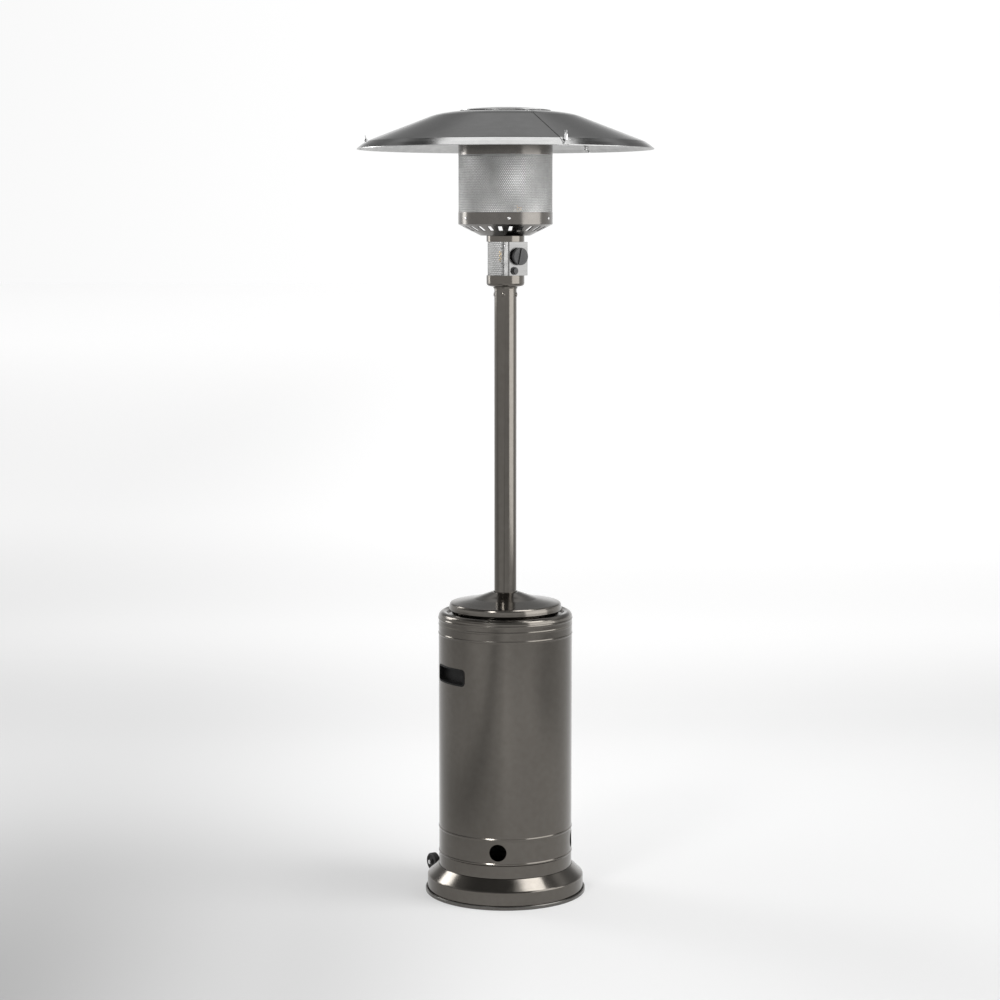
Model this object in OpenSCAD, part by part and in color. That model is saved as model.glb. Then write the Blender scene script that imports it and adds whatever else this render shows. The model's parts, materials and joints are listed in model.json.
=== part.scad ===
// Free-standing gas patio heater: mushroom reflector on a post, round tank housing and stamped base.
// Millimetres, +Z up, origin on the floor under the post. Front (control box) faces -Y, wheels sit at +Y.

/* [Overall] */
// Total height from the floor to the top of the reflector cap
total_h = 2204; // [2194:1:2214]
// Outside radius of the post
post_r = 31.1; // [29:0.1:33]

/* [Base] */
// Outside radius of the bottom ring
base_r = 227; // [226:1:240]
// Outside radius of the vertical skirt
skirt_r = 221; // [219:0.5:222]
// Height of the vertical skirt
skirt_h = 48; // [46:1:54]
// Height of the flat deck that carries the tank
deck_z = 79; // [75:0.5:82]

/* [Tank housing] */
// Outside radius of the housing
housing_r = 188; // [187:0.5:189]
// Height of the rounded top edge of the housing
shoulder_z = 804; // [800:1:810]
// Sheet thickness of the housing
housing_wall = 1.2; // [0.8:0.1:1.6]
// Radius of the four vent holes
vent_r = 24; // [18:1:28]
// Height of the vent holes
vent_z = 152.5; // [146:0.5:158]
// Height of the middle of the two handle slots
handle_z = 636.5; // [625:0.5:645]
// Width of each handle slot
handle_w = 128; // [110:1:129]
// Height of each handle slot
handle_h = 43; // [36:1:48]

/* [Lid] */
// Outside radius of the lid rim
lid_r = 158.5; // [156:0.5:160]
// Height of the top of the lid beside the post
lid_top_z = 858; // [855:1:862]

/* [Control head] */
// Outside radius of the two collars
collar_r = 52.7; // [52.4:0.1:54]
// Outside radius of the perforated sleeve
sleeve_r = 49.3; // [48.5:0.1:50]
// Width of the control box
box_w = 64; // [60:1:66]
// Distance from the post axis to the front of the control box
box_front = 66; // [64:0.5:68]
// Radius of the control knob
knob_r = 24; // [20:0.5:26]
// Height of the knob axis
knob_z = 1797; // [1795:0.5:1800]
// Height of the igniter button
button_z = 1757.5; // [1756:0.5:1759]

/* [Emitter] */
// Outside radius of the perforated emitter screen
screen_r = 129.6; // [129:0.1:130]
// Number of slots in the cone below the emitter
slot_count = 24; // [18:1:28]
// Width of each slot
slot_w = 11; // [6:0.5:12]

/* [Reflector] */
// Radius of the reflector rim
rim_r = 409; // [404:1:414]
// Bearing of the first lap seam, measured from the front
seam_bearing = -8.8; // [-12:0.2:12]
// Distance of the seam bolts from the axis
seam_bolt_r = 391; // [389:1:393]

/* [Wheels] */
// Radius of each transport wheel
wheel_r = 25.5; // [22:0.5:27]
// Distance of the wheel axle behind the post axis
axle_y = 240; // [238:0.5:246]

/* [Hidden] */
$fn = 96;

// Base
ring_h = 10.5;
plate_t = 2.5;
sheet = 1.2;
deck_r = 190;
upstand_r = 185.6;
upstand_h = 11;
tank_ring_r = 118;

// Frame inside the housing
leg_bearings = [180, 64, -64];
leg_w = 18;
leg_t = 3;
leg_r = 182;
leg_bend_z = 640;
leg_top_z = 700;
foot_bolt_r = 163;
top_bolt_r = 52;
socket_flange_r = 62;
socket_h = 60;

// Post
post_wall = 1.5;
post_foot_z = leg_top_z + 4;
post_top_z = 1716;
post_len = post_top_z - post_foot_z;
post_screw_z = 1691;
post_screw_bearings = [45, 135, 225, 315];

// Housing
housing_foot_z = deck_z + 0.4;
shoulder_round = 14;
ledge_z = 796;
ledge_outer_r = 164;
ledge_inner_r = 128;
bead_heights = [118, 188, 743, 785];
fine_bead_z = 768;
bead_out = 1.4;
bead_half = 4;
vent_bearings = [-38.8, 51.2, 141.2, 231.2];
cup_back_x = 162;
cup_wall = 1.5;
cup_round = 9;
lid_hole_r = post_r + 2.4;
lid_screw_r = 142;

// Head
low_collar_z = 1718;
low_collar_top = 1744;
up_collar_z = 1837;
sleeve_z = low_collar_z + 2.2;
line_y = -26;
pan_z = total_h - 350.4;
box_bottom = low_collar_top + 0.4;
box_top = up_collar_z - 0.4;
box_back = 30;
hub_hole_r = 38;
stem_r = 3;
plug_r = 6;
button_x = -13.3;
button_r = 7.6;
knob_gap = 5;
knob_depth = 11;

// Emitter
screen_wall = 1;
band_r = screen_r + 1.2;
pan_rim_z = pan_z + 32;
band_top_z = pan_rim_z + 32;
screen_z0 = pan_rim_z + 2.5;
top_band_z = pan_z + 220.4;
baffle_z = top_band_z + 38;
top_band_top = baffle_z + 4;
pan_flat_r = 69;
pan_flange_r = screen_r - screen_wall;
slot_r0 = 93;
slot_r1 = 119;
slot_first = -9.8;
band_screw_z = pan_rim_z + 15.5;
band_screw_first = -28.2;
pan_screw_r = 44;

// Reflector
refl_t = 1.2;
lap_gap = 0.25;
lap_t = 1;
seat_gap = 0.05;
nut_turns = [-12, 40, -80];
nut_base_z = total_h - 94;
bolt_head_z = total_h - 107;
knee_z = total_h - 24;
stud_r = 95;
stud_bearings = [seam_bearing + 60, seam_bearing + 180, seam_bearing + 300];
seam_bearings = [seam_bearing, seam_bearing + 120, seam_bearing + 240];
cap_r = 125;
refl_top = [
    [rim_r, total_h - 112],
    [rim_r - 11, total_h - 103],
    [rim_r - 24, total_h - 94],
    [rim_r - 31, total_h - 91],
    [205, knee_z],
    [192, total_h - 20.2],
    [178, total_h - 17],
    [150, total_h - 13],
    [125, total_h - 10.5],
    [70, total_h - 8]
];

// Wheels
axle_z = 38.6;
axle_r = 4;
wheel_in = 86;
wheel_out = 104;
ear_x = 78;

// Turns children so that their +X points outwards at a bearing measured from the front towards +X.
module at_bearing(a) {
    rotate([0, 0, a - 90]) children();
}

// Straight round bar along the local +X direction.
module radial_bar(x0, x1, z, r) {
    translate([x0, 0, z]) rotate([0, 90, 0]) cylinder(r = r, h = x1 - x0);
}

// Round bar along Y between two positions.
module bar_y(x, z, y0, y1, r) {
    translate([x, y1, z]) rotate([90, 0, 0]) cylinder(r = r, h = y1 - y0);
}

// Low domed screw head with its flat side on the XY plane.
module dome_head(r, h) {
    rotate_extrude() polygon([[0, 0], [r, 0], [r, h * 0.35], [r * 0.8, h * 0.75], [r * 0.4, h], [0, h]]);
}

// Flat rounded rectangle centred on the origin.
module round_rect(w, h, r) {
    union() {
        square([w - 2 * r, h], center = true);
        square([w, h - 2 * r], center = true);
        for (x = [-1, 1], y = [-1, 1]) {
            translate([x * (w / 2 - r), y * (h / 2 - r)]) circle(r = r);
        }
    }
}

// Rounded rectangular bar along +X, wide in Y and tall in Z.
module slot_bar(x0, x1, w, h, r, z) {
    translate([x0, 0, z]) rotate([90, 0, 90]) linear_extrude(height = x1 - x0) round_rect(w, h, r);
}

// Points of a quarter round from straight up the side to flat on top.
function quarter(cx, cz, r, steps) = [
    for (i = [0:steps]) [cx + r * cos(90 * i / steps), cz + r * sin(90 * i / steps)]
];

// Points of one raised bead on the housing wall.
function bead(z, out) = [
    [housing_r, z - bead_half],
    [housing_r + out, z - bead_half / 3],
    [housing_r + out, z + bead_half / 3],
    [housing_r, z + bead_half]
];

// Same list of points moved straight up or down.
function raised(points, dz) = [for (p = points) [p[0], p[1] + dz]];

// Point part of the way from a to b.
function between(a, b, share) = [a[0] + (b[0] - a[0]) * share, a[1] + (b[1] - a[1]) * share];

// Same list of points in the opposite order.
function reversed(points) = [for (i = [len(points) - 1:-1:0]) points[i]];

// Bottom pan with an upturned rim; its underside stands on the floor.
module base_plate() {
    color([0.30, 0.29, 0.28])
        rotate_extrude()
            polygon([
                [0, 0], [base_r - 1.5, 0], [base_r, 1.5], [base_r, ring_h - 2], [base_r - 1.5, ring_h],
                [skirt_r + 2, ring_h], [skirt_r + 1, ring_h - 1], [skirt_r + 1, plate_t], [0, plate_t]
            ]);
}

// Stamped cover: vertical skirt, sloping band, flat deck and the upstand that centres the housing.
module base_cover() {
    color([0.36, 0.34, 0.32])
        difference() {
            rotate_extrude()
                polygon([
                    [skirt_r - sheet, plate_t], [skirt_r, plate_t], [skirt_r, skirt_h - 1],
                    [skirt_r - 0.8, skirt_h + 1], [skirt_r - 2.5, skirt_h + 3], [deck_r, deck_z - 0.8],
                    [deck_r - 2, deck_z], [upstand_r, deck_z], [upstand_r, deck_z + upstand_h],
                    [upstand_r - sheet, deck_z + upstand_h], [upstand_r - sheet, deck_z], [0, deck_z],
                    [0, deck_z - sheet], [deck_r - 2.5, deck_z - sheet], [deck_r - 1, deck_z - 2],
                    [skirt_r - 3.4, skirt_h + 1.9], [skirt_r - 2, skirt_h + 0.2],
                    [skirt_r - sheet, skirt_h - 1.6]
                ]);
            for (b = leg_bearings) {
                at_bearing(b) translate([foot_bolt_r, 0, deck_z - 4]) cylinder(r = 4.2, h = 8);
            }
            for (b = [166, 194]) {
                at_bearing(b) radial_bar(skirt_r - 6, skirt_r + 6, 34, 3.2);
            }
        }
}

// Ring welded to the deck that keeps the gas cylinder's foot in place.
module tank_ring() {
    color([0.25, 0.25, 0.25])
        translate([0, 0, deck_z])
            difference() {
                cylinder(r = tank_ring_r, h = 14);
                translate([0, 0, -1]) cylinder(r = tank_ring_r - 2, h = 16);
            }
}

// Bent steel strip from the deck to the post socket, drawn for a leg on local +X.
module leg(bearing) {
    color([0.28, 0.28, 0.28])
        at_bearing(bearing)
            difference() {
                translate([0, leg_w / 2, 0]) rotate([90, 0, 0])
                    linear_extrude(height = leg_w)
                        polygon([
                            [148, deck_z], [leg_r, deck_z], [leg_r, leg_bend_z], [leg_r - 60, leg_top_z],
                            [41, leg_top_z], [41, leg_top_z - leg_t], [leg_r - 61.2, leg_top_z - leg_t],
                            [leg_r - leg_t, leg_bend_z - 1.2], [leg_r - leg_t, deck_z + leg_t],
                            [148, deck_z + leg_t]
                        ]);
                translate([foot_bolt_r, 0, deck_z - 1]) cylinder(r = 4.2, h = leg_t + 2);
                translate([top_bolt_r, 0, leg_top_z - leg_t - 1]) cylinder(r = 4.2, h = leg_t + 2);
            }
}

module leg_back() {
    leg(leg_bearings[0]);
}

module leg_right() {
    leg(leg_bearings[1]);
}

module leg_left() {
    leg(leg_bearings[2]);
}

// Hex-headed bolts through the leg feet and through the leg tops.
module leg_bolts() {
    color([0.70, 0.70, 0.72])
        for (b = leg_bearings) {
            at_bearing(b) {
                translate([foot_bolt_r, 0, deck_z - 10]) cylinder(r = 4, h = 10 + leg_t);
                translate([foot_bolt_r, 0, deck_z + leg_t]) cylinder(r = 7.5, h = 5, $fn = 6);
                translate([top_bolt_r, 0, leg_top_z - leg_t - 6]) cylinder(r = 4, h = 16);
                translate([top_bolt_r, 0, leg_top_z - leg_t - 5]) cylinder(r = 7.5, h = 5, $fn = 6);
            }
        }
}

// Flanged socket that joins the three legs to the foot of the post.
module post_socket() {
    color([0.28, 0.28, 0.28])
        difference() {
            union() {
                translate([0, 0, leg_top_z]) cylinder(r = socket_flange_r, h = 4);
                translate([0, 0, leg_top_z]) cylinder(r = post_r + 3.4, h = socket_h);
            }
            translate([0, 0, post_foot_z]) cylinder(r = post_r + 0.1, h = socket_h);
            translate([0, 0, leg_top_z - 1]) cylinder(r = 20, h = 8);
            for (b = leg_bearings) {
                at_bearing(b) translate([top_bolt_r, 0, leg_top_z - 1]) cylinder(r = 4.2, h = 6);
            }
            for (b = post_screw_bearings) {
                at_bearing(b) radial_bar(post_r - 4, post_r + 8, leg_top_z + 42, 2.7);
            }
        }
}

// Screws that clamp the post inside its socket.
module socket_screws() {
    color([0.70, 0.70, 0.72])
        for (b = post_screw_bearings) {
            at_bearing(b) {
                radial_bar(post_r - 3.5, post_r + 3.5, leg_top_z + 42, 2.5);
                translate([post_r + 3.5, 0, leg_top_z + 42]) rotate([0, 90, 0]) dome_head(5, 3);
            }
        }
}

// Long steel tube from the socket up to the control head.
module post() {
    color([0.38, 0.36, 0.34])
        difference() {
            translate([0, 0, post_foot_z]) cylinder(r = post_r, h = post_len);
            translate([0, 0, post_foot_z - 1]) cylinder(r = post_r - post_wall, h = post_len + 2);
            for (b = post_screw_bearings) {
                at_bearing(b) {
                    radial_bar(post_r - 5, post_r + 5, leg_top_z + 42, 2.7);
                    radial_bar(post_r - 5, post_r + 5, post_screw_z, 2.7);
                }
            }
        }
}

// Four low domed screws just below the control head.
module post_screws() {
    color([0.42, 0.40, 0.38])
        for (b = post_screw_bearings) {
            at_bearing(b) {
                radial_bar(post_r - 6, post_r, post_screw_z, 2.5);
                translate([post_r, 0, post_screw_z]) rotate([0, 90, 0]) dome_head(6, 2.4);
            }
        }
}

// Lower cup of the control head with the spigot that enters the post.
module lower_collar() {
    inner = post_r - post_wall - 0.1;
    color([0.38, 0.36, 0.34])
        difference() {
            rotate_extrude()
                polygon([
                    [inner - 1.8, post_screw_z - 18], [inner, post_screw_z - 18], [inner, post_top_z],
                    [post_r + 0.1, post_top_z], [post_r + 0.1, low_collar_z - 10],
                    [post_r + 2, low_collar_z - 10],
                    [post_r + 3, low_collar_z - 6], [collar_r - 5, low_collar_z - 3],
                    [collar_r - 1.4, low_collar_z], [collar_r, low_collar_z + 4], [collar_r, low_collar_top],
                    [collar_r - 1.5, low_collar_top], [collar_r - 1.5, low_collar_z + 4.5],
                    [collar_r - 4.5, low_collar_z], [inner - 1.8, low_collar_z]
                ]);
            for (b = post_screw_bearings) {
                at_bearing(b) radial_bar(post_r - 6.5, post_r - 0.5, post_screw_z, 2.7);
            }
        }
}

// Round sleeve between the two collars, cut away where the control box passes through.
module head_sleeve() {
    color([0.66, 0.66, 0.66])
        difference() {
            translate([0, 0, sleeve_z]) cylinder(r = sleeve_r, h = pan_z - 1.6 - sleeve_z);
            translate([0, 0, low_collar_z - 1]) cylinder(r = sleeve_r - 1, h = pan_z - low_collar_z + 2);
            translate([-box_w / 2 - 0.3, -sleeve_r - 5, low_collar_top])
                cube([box_w + 0.6, sleeve_r + 5 - box_back, up_collar_z - low_collar_top]);
        }
}

// Upper ring of the control head, which carries the slotted burner pan.
module upper_collar() {
    color([0.38, 0.36, 0.34])
        difference() {
            rotate_extrude()
                polygon([
                    [collar_r - 1.5, up_collar_z], [collar_r, up_collar_z], [collar_r, pan_z - 1],
                    [collar_r - 1, pan_z], [hub_hole_r, pan_z], [hub_hole_r, pan_z - 1.6],
                    [collar_r - 1.5, pan_z - 1.6]
                ]);
            for (b = [60, 180, 300]) {
                at_bearing(b) translate([pan_screw_r, 0, pan_z - 4]) cylinder(r = 2.2, h = 8);
            }
        }
}

// Outline of the control box seen from above, with bevelled front corners, from its front to the back given.
module box_outline(inset, back) {
    w = box_w / 2 - inset;
    f = box_front - inset;
    polygon([[-w, back], [-w, 3 - f], [3 - w, -f], [w - 3, -f], [w, 3 - f], [w, back]]);
}

// Sheet-metal control box, open at the back towards the sleeve.
module control_box() {
    color([0.62, 0.62, 0.62])
        difference() {
            translate([0, 0, box_bottom])
                linear_extrude(height = box_top - box_bottom) box_outline(0, -box_back);
            translate([0, 0, box_bottom + sheet])
                linear_extrude(height = box_top - box_bottom - 2 * sheet) box_outline(sheet, 1 - box_back);
            bar_y(0, knob_z, -box_front - 2, -box_front + 4, 7);
            bar_y(button_x, button_z, -box_front - 2, -box_front + 4, 8.2);
            for (s = [-1, 1]) {
                translate([s * (box_w / 2 - 2) - 4, -48, 1826]) rotate([0, 90, 0]) cylinder(r = 1.7, h = 8);
            }
        }
}

// Two side screws of the control box.
module box_screws() {
    color([0.55, 0.55, 0.55])
        for (s = [-1, 1]) {
            translate([s * box_w / 2, -48, 1826]) rotate([0, s * 90, 0]) dome_head(3.2, 1.8);
            translate([s * (box_w / 2 - 2.5) - 2.5, -48, 1826]) rotate([0, 90, 0]) cylinder(r = 1.5, h = 5);
        }
}

// Brass gas valve with its inlet below and its outlet above the post axis.
module gas_valve() {
    color([0.72, 0.58, 0.30])
        difference() {
            union() {
                translate([-14, -50, knob_z - 15]) cube([28, 62, 30]);
                bar_y(0, knob_z, -58, -50, 11);
                translate([0, 0, knob_z - 26]) cylinder(r = 7, h = 11);
                translate([0, 0, knob_z + 15]) cylinder(r = 6, h = 10);
            }
            bar_y(0, knob_z, -60, -30, plug_r + 0.4);
            translate([0, 0, knob_z - 27]) cylinder(r = 3, h = 60);
        }
}

// Turning plug inside the valve, hollow so the knob stem can be pressed through it.
module valve_plug() {
    color([0.80, 0.66, 0.36])
        difference() {
            bar_y(0, knob_z, -57, -31, plug_r);
            bar_y(0, knob_z, -58, -34, stem_r + 0.5);
        }
}

// Round control knob with a raised grip bar and a shallow back recess.
module knob() {
    back = -box_front - knob_gap;
    front = back - knob_depth;
    color([0.06, 0.06, 0.06])
        difference() {
            union() {
                bar_y(0, knob_z, front + 4, back, knob_r);
                bar_y(0, knob_z, front + 2.5, front + 4, knob_r - 1.5);
                translate([0, front + 3, knob_z]) rotate([0, 12, 0])
                    translate([-4.2, -4, -knob_r + 2.5]) cube([8.4, 5, 2 * knob_r - 5]);
            }
            bar_y(0, knob_z, back - 4, back + 1, knob_r - 3);
        }
}

// Short steel stem that carries the knob and slides in the plug.
module knob_stem() {
    color([0.70, 0.70, 0.72])
        bar_y(0, knob_z, -box_front - knob_gap - 4, -40, stem_r);
}

// Piezo igniter barrel behind the front plate.
module igniter_body() {
    color([0.12, 0.12, 0.12])
        difference() {
            bar_y(button_x, button_z, -box_front + sheet + 0.1, -32, 9.2);
            bar_y(button_x, button_z, -box_front, -48, button_r + 0.5);
        }
}

// Threaded ring that clamps the igniter to the front plate.
module igniter_bezel() {
    color([0.08, 0.08, 0.08])
        difference() {
            bar_y(button_x, button_z, -box_front - 3.5, -box_front, 10.8);
            bar_y(button_x, button_z, -box_front - 5, -box_front + 1, button_r + 0.5);
        }
}

// Push button of the piezo igniter.
module igniter_button() {
    color([0.05, 0.05, 0.05]) {
        bar_y(button_x, button_z, -box_front - 8, -54, button_r);
        bar_y(button_x, button_z, -box_front - 9, -box_front - 8, button_r - 1);
    }
}

// Anti-tilt gas cut-off switch standing in the head.
module tilt_switch() {
    color([0.15, 0.15, 0.15])
        translate([26, 14, low_collar_z]) {
            cylinder(r = 9, h = 32);
            translate([0, 0, 32]) cylinder(r = 3, h = 6);
        }
}

// Gas hose hanging through the post and turning to the regulator.
module gas_hose() {
    color([0.05, 0.05, 0.05]) {
        translate([0, 0, 630]) cylinder(r = 5.5, h = knob_z - 26 - 630);
        translate([0, 45, 630]) rotate([0, 90, 0]) rotate([0, 0, -90])
            rotate_extrude(angle = 90) translate([45, 0]) circle(r = 5.5);
    }
}

// Pressure regulator with its dome, on the lower end of the hose.
module regulator() {
    color([0.45, 0.45, 0.47])
        difference() {
            union() {
                translate([0, 80, 575]) cylinder(r = 30, h = 20);
                translate([0, 80, 595]) cylinder(r1 = 26, r2 = 16, h = 10);
                bar_y(0, 585, 45, 55, 8);
                bar_y(0, 585, 105, 128, 7);
                bar_y(0, 585, 128, 136, 4.5);
            }
            bar_y(0, 585, 120, 137, 2);
        }
}

// Hand-tightened coupling nut that screws on the gas cylinder.
module coupling_nut() {
    color([0.08, 0.08, 0.08])
        difference() {
            union() {
                bar_y(0, 585, 113, 140, 17);
                for (i = [0:7]) {
                    translate([0, 113, 585]) rotate([0, i * 45, 0])
                        translate([16, 0, -2.5]) cube([3.5, 27, 5]);
                }
            }
            bar_y(0, 585, 112, 122, 7.5);
            bar_y(0, 585, 121, 141, 13);
        }
}

// Straight tube that feeds gas from the valve to the burner.
module gas_tube() {
    color([0.72, 0.58, 0.30])
        difference() {
            translate([0, 0, knob_z + 25]) cylinder(r = 5, h = pan_z + 27 - knob_z - 25);
            translate([0, 0, knob_z + 24]) cylinder(r = 3.5, h = pan_z + 29 - knob_z - 24);
        }
}

// Round cup that spreads the gas below the burner plate.
module burner_cup() {
    color([0.55, 0.55, 0.56])
        translate([0, 0, pan_z + 27])
            rotate_extrude()
                polygon([
                    [3.5, 0], [20, 0], [58, 12], [60, 24], [58.6, 24], [56.8, 13], [19.5, 1.4], [3.5, 1.4]
                ]);
}

// Perforated burner plate with rings of flame ports.
module burner_plate() {
    color([0.50, 0.50, 0.50])
        translate([0, 0, pan_z + 51])
            difference() {
                cylinder(r = 60, h = 2);
                for (i = [0:23]) {
                    rotate([0, 0, i * 15]) translate([50, 0, -1]) cylinder(r = 3, h = 4);
                }
                for (i = [0:11]) {
                    rotate([0, 0, i * 30]) translate([32, 0, -1]) cylinder(r = 3, h = 4);
                }
            }
}

// Upright plate beside the burner that holds the pilot parts.
module pilot_bracket() {
    color([0.30, 0.30, 0.30])
        difference() {
            union() {
                translate([-14, -68, pan_z + 1.4]) cube([28, 22, 1.5]);
                translate([-14, -68, pan_z + 1.4]) cube([28, 1.5, 60]);
                translate([-14, -68, pan_z + 61.4]) cube([28, 10, 1.5]);
            }
            for (x = [-9, 0, 9]) {
                translate([x, -62, pan_z + 58]) cylinder(r = 2.6, h = 8);
            }
        }
}

// Bent line that runs from the head up to a pilot part on the bracket.
module pilot_line(x, z0, r, tip) {
    translate([x, line_y, z0]) cylinder(r = r, h = pan_z + 8 - z0);
    translate([x, line_y, pan_z + 8]) sphere(r = r);
    bar_y(x, pan_z + 8, -62, line_y, r);
    translate([x, -62, pan_z + 8]) sphere(r = r);
    translate([x, -62, pan_z + 8]) cylinder(r = r, h = tip);
}

// Pilot gas line with its hood.
module pilot_tube() {
    color([0.72, 0.58, 0.30]) {
        pilot_line(9, knob_z + 15, 2, 60);
        translate([9, -62, pan_z + 68]) cylinder(r = 4, h = 10);
    }
}

// Flame sensor that keeps the valve open.
module thermocouple() {
    color([0.70, 0.55, 0.40]) {
        pilot_line(0, knob_z + 15, 1.6, 64);
        translate([0, -62, pan_z + 72]) cylinder(r = 2.2, h = 12);
    }
}

// Spark electrode with its ceramic sleeve.
module spark_electrode() {
    color([0.90, 0.88, 0.84]) {
        pilot_line(-9, knob_z + 15, 1.4, 74);
        translate([-9, -62, pan_z + 63.5]) cylinder(r = 3.4, h = 12);
    }
}

// Slotted cone below the emitter, with a flat hub and an upturned flange.
module burner_pan() {
    color([0.36, 0.35, 0.34])
        difference() {
            rotate_extrude()
                polygon([
                    [hub_hole_r, pan_z], [pan_flat_r, pan_z], [band_r - 0.4, pan_rim_z - 1],
                    [band_r - 0.4, pan_rim_z], [pan_flange_r, pan_rim_z], [pan_flange_r, pan_rim_z + 22],
                    [pan_flange_r - 1.2, pan_rim_z + 22], [pan_flange_r - 1.2, pan_rim_z - 1],
                    [pan_flat_r - 0.3, pan_z + 1.4], [hub_hole_r, pan_z + 1.4]
                ]);
            for (i = [0:slot_count - 1]) {
                at_bearing(slot_first + i * 360 / slot_count)
                    translate([slot_r0, -slot_w / 2, pan_z + 2]) cube([slot_r1 - slot_r0, slot_w, 34]);
            }
            for (b = [60, 180, 300]) {
                at_bearing(b) translate([pan_screw_r, 0, pan_z - 4]) cylinder(r = 2.2, h = 8);
            }
            for (i = [0:5]) {
                at_bearing(band_screw_first + i * 60)
                    radial_bar(pan_flange_r - 4, band_r + 3, band_screw_z, 2.2);
            }
        }
}

// Screws through the pan hub and the upper collar.
module pan_screws() {
    color([0.60, 0.60, 0.60])
        for (b = [60, 180, 300]) {
            at_bearing(b) translate([pan_screw_r, 0, pan_z - 6]) cylinder(r = 2, h = 7.4);
            at_bearing(b) translate([pan_screw_r, 0, pan_z + 1.4]) dome_head(4, 2.2);
        }
}

// Plain band that clamps the foot of the emitter screen.
module emitter_band() {
    color([0.38, 0.37, 0.36])
        difference() {
            translate([0, 0, pan_rim_z]) cylinder(r = band_r, h = band_top_z - pan_rim_z);
            translate([0, 0, pan_rim_z - 1]) cylinder(r = screen_r, h = band_top_z - pan_rim_z + 2);
            for (i = [0:5]) {
                at_bearing(band_screw_first + i * 60) radial_bar(screen_r - 4, band_r + 3, band_screw_z, 2.2);
            }
        }
}

// Six screws round the lower emitter band.
module band_screws() {
    color([0.80, 0.80, 0.80])
        for (i = [0:5]) {
            at_bearing(band_screw_first + i * 60) {
                radial_bar(pan_flange_r - 3, band_r, band_screw_z, 2);
                translate([band_r, 0, band_screw_z]) rotate([0, 90, 0]) dome_head(4.2, 2.2);
            }
        }
}

// Round emitter screen, drawn here as a plain sheet without its small perforations.
module emitter_screen() {
    color([0.66, 0.66, 0.65])
        difference() {
            translate([0, 0, screen_z0]) cylinder(r = screen_r, h = top_band_top - screen_z0);
            translate([0, 0, screen_z0 - 1]) cylinder(r = pan_flange_r, h = top_band_top - screen_z0 + 2);
            for (i = [0:5]) {
                at_bearing(band_screw_first + i * 60)
                    radial_bar(pan_flange_r - 4, band_r + 3, band_screw_z, 2.2);
            }
        }
}

// Plain band round the head of the emitter screen.
module top_band() {
    color([0.34, 0.33, 0.32])
        difference() {
            translate([0, 0, top_band_z]) cylinder(r = screen_r + 0.8, h = top_band_top - top_band_z);
            translate([0, 0, top_band_z - 1]) cylinder(r = screen_r, h = top_band_top - top_band_z + 2);
        }
}

// Heat baffle that closes the head of the emitter.
module top_baffle() {
    color([0.60, 0.60, 0.60])
        translate([0, 0, baffle_z])
            difference() {
                cylinder(r = pan_flange_r, h = 1.6);
                for (b = stud_bearings) {
                    at_bearing(b) translate([stud_r, 0, -1]) cylinder(r = 3.3, h = 4);
                }
            }
}

// Three studs hanging from the reflector cap.
module reflector_studs() {
    color([0.70, 0.70, 0.72])
        for (b = stud_bearings) {
            at_bearing(b) translate([stud_r, 0, baffle_z - 8])
                cylinder(r = 3, h = total_h - 5.2 - baffle_z + 8);
        }
}

// Spacer tubes that hold the reflector above the baffle.
module stud_spacers() {
    color([0.60, 0.60, 0.62])
        for (b = stud_bearings) {
            at_bearing(b) translate([stud_r, 0, baffle_z + 1.6])
                difference() {
                    cylinder(r = 6, h = total_h - 10.8 - baffle_z - 1.6);
                    translate([0, 0, -1]) cylinder(r = 3.2, h = 100);
                }
        }
}

// Hex nuts under the baffle.
module stud_nuts() {
    color([0.72, 0.72, 0.74])
        for (b = stud_bearings) {
            at_bearing(b) translate([stud_r, 0, baffle_z - 5])
                difference() {
                    cylinder(r = 6.3, h = 5, $fn = 6);
                    translate([0, 0, -1]) cylinder(r = 3, h = 7);
                }
        }
}

// One third of the reflector, with a lap strip that is rooted in its own edge and rests on its neighbour.
module reflector_panel(bearing) {
    middle = [
        between(refl_top[1], refl_top[2], 0.4), for (i = [2:len(refl_top) - 3]) refl_top[i],
        between(refl_top[len(refl_top) - 3], refl_top[len(refl_top) - 2], 0.4)
    ];
    under = [for (i = [1:len(refl_top) - 1]) refl_top[i]];
    hem = [[rim_r - 1.2, total_h - 114.2], [rim_r + 0.8, total_h - 114.2], [rim_r + 0.8, total_h - 112.6]];
    shell = concat(hem, refl_top, reversed(raised(under, -refl_t - 0.3)));
    lap = concat(raised(refl_top, lap_gap + lap_t), reversed(raised(refl_top, lap_gap)));
    root = concat(raised(middle, lap_gap + 0.6), reversed(raised(middle, -0.4)));
    color([0.50, 0.50, 0.50])
        difference() {
            union() {
                rotate([0, 0, bearing - 90]) rotate_extrude(angle = 119.4) polygon(shell);
                rotate([0, 0, bearing - 92]) rotate_extrude(angle = 3) polygon(lap);
                rotate([0, 0, bearing - 89.8]) rotate_extrude(angle = 1.8) polygon(root);
            }
            for (b = seam_bearings) {
                at_bearing(b) translate([seam_bolt_r, 0, total_h - 120]) cylinder(r = 3.2, h = 40);
            }
            for (b = stud_bearings) {
                at_bearing(b) translate([stud_r, 0, total_h - 30]) cylinder(r = 3.3, h = 40);
            }
        }
}

module reflector_panel_a() {
    reflector_panel(seam_bearings[0]);
}

module reflector_panel_b() {
    reflector_panel(seam_bearings[1]);
}

module reflector_panel_c() {
    reflector_panel(seam_bearings[2]);
}

// Shallow dished cap over the middle of the reflector.
module reflector_cap() {
    top = [
        [cap_r, total_h - 7.6], [110, total_h - 5.3], [95, total_h - 3.6], [68, total_h - 1.5],
        [34, total_h - 0.4], [0, total_h]
    ];
    color([0.50, 0.50, 0.50])
        rotate_extrude() polygon(concat(top, reversed(raised(top, -1.4))));
}

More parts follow.
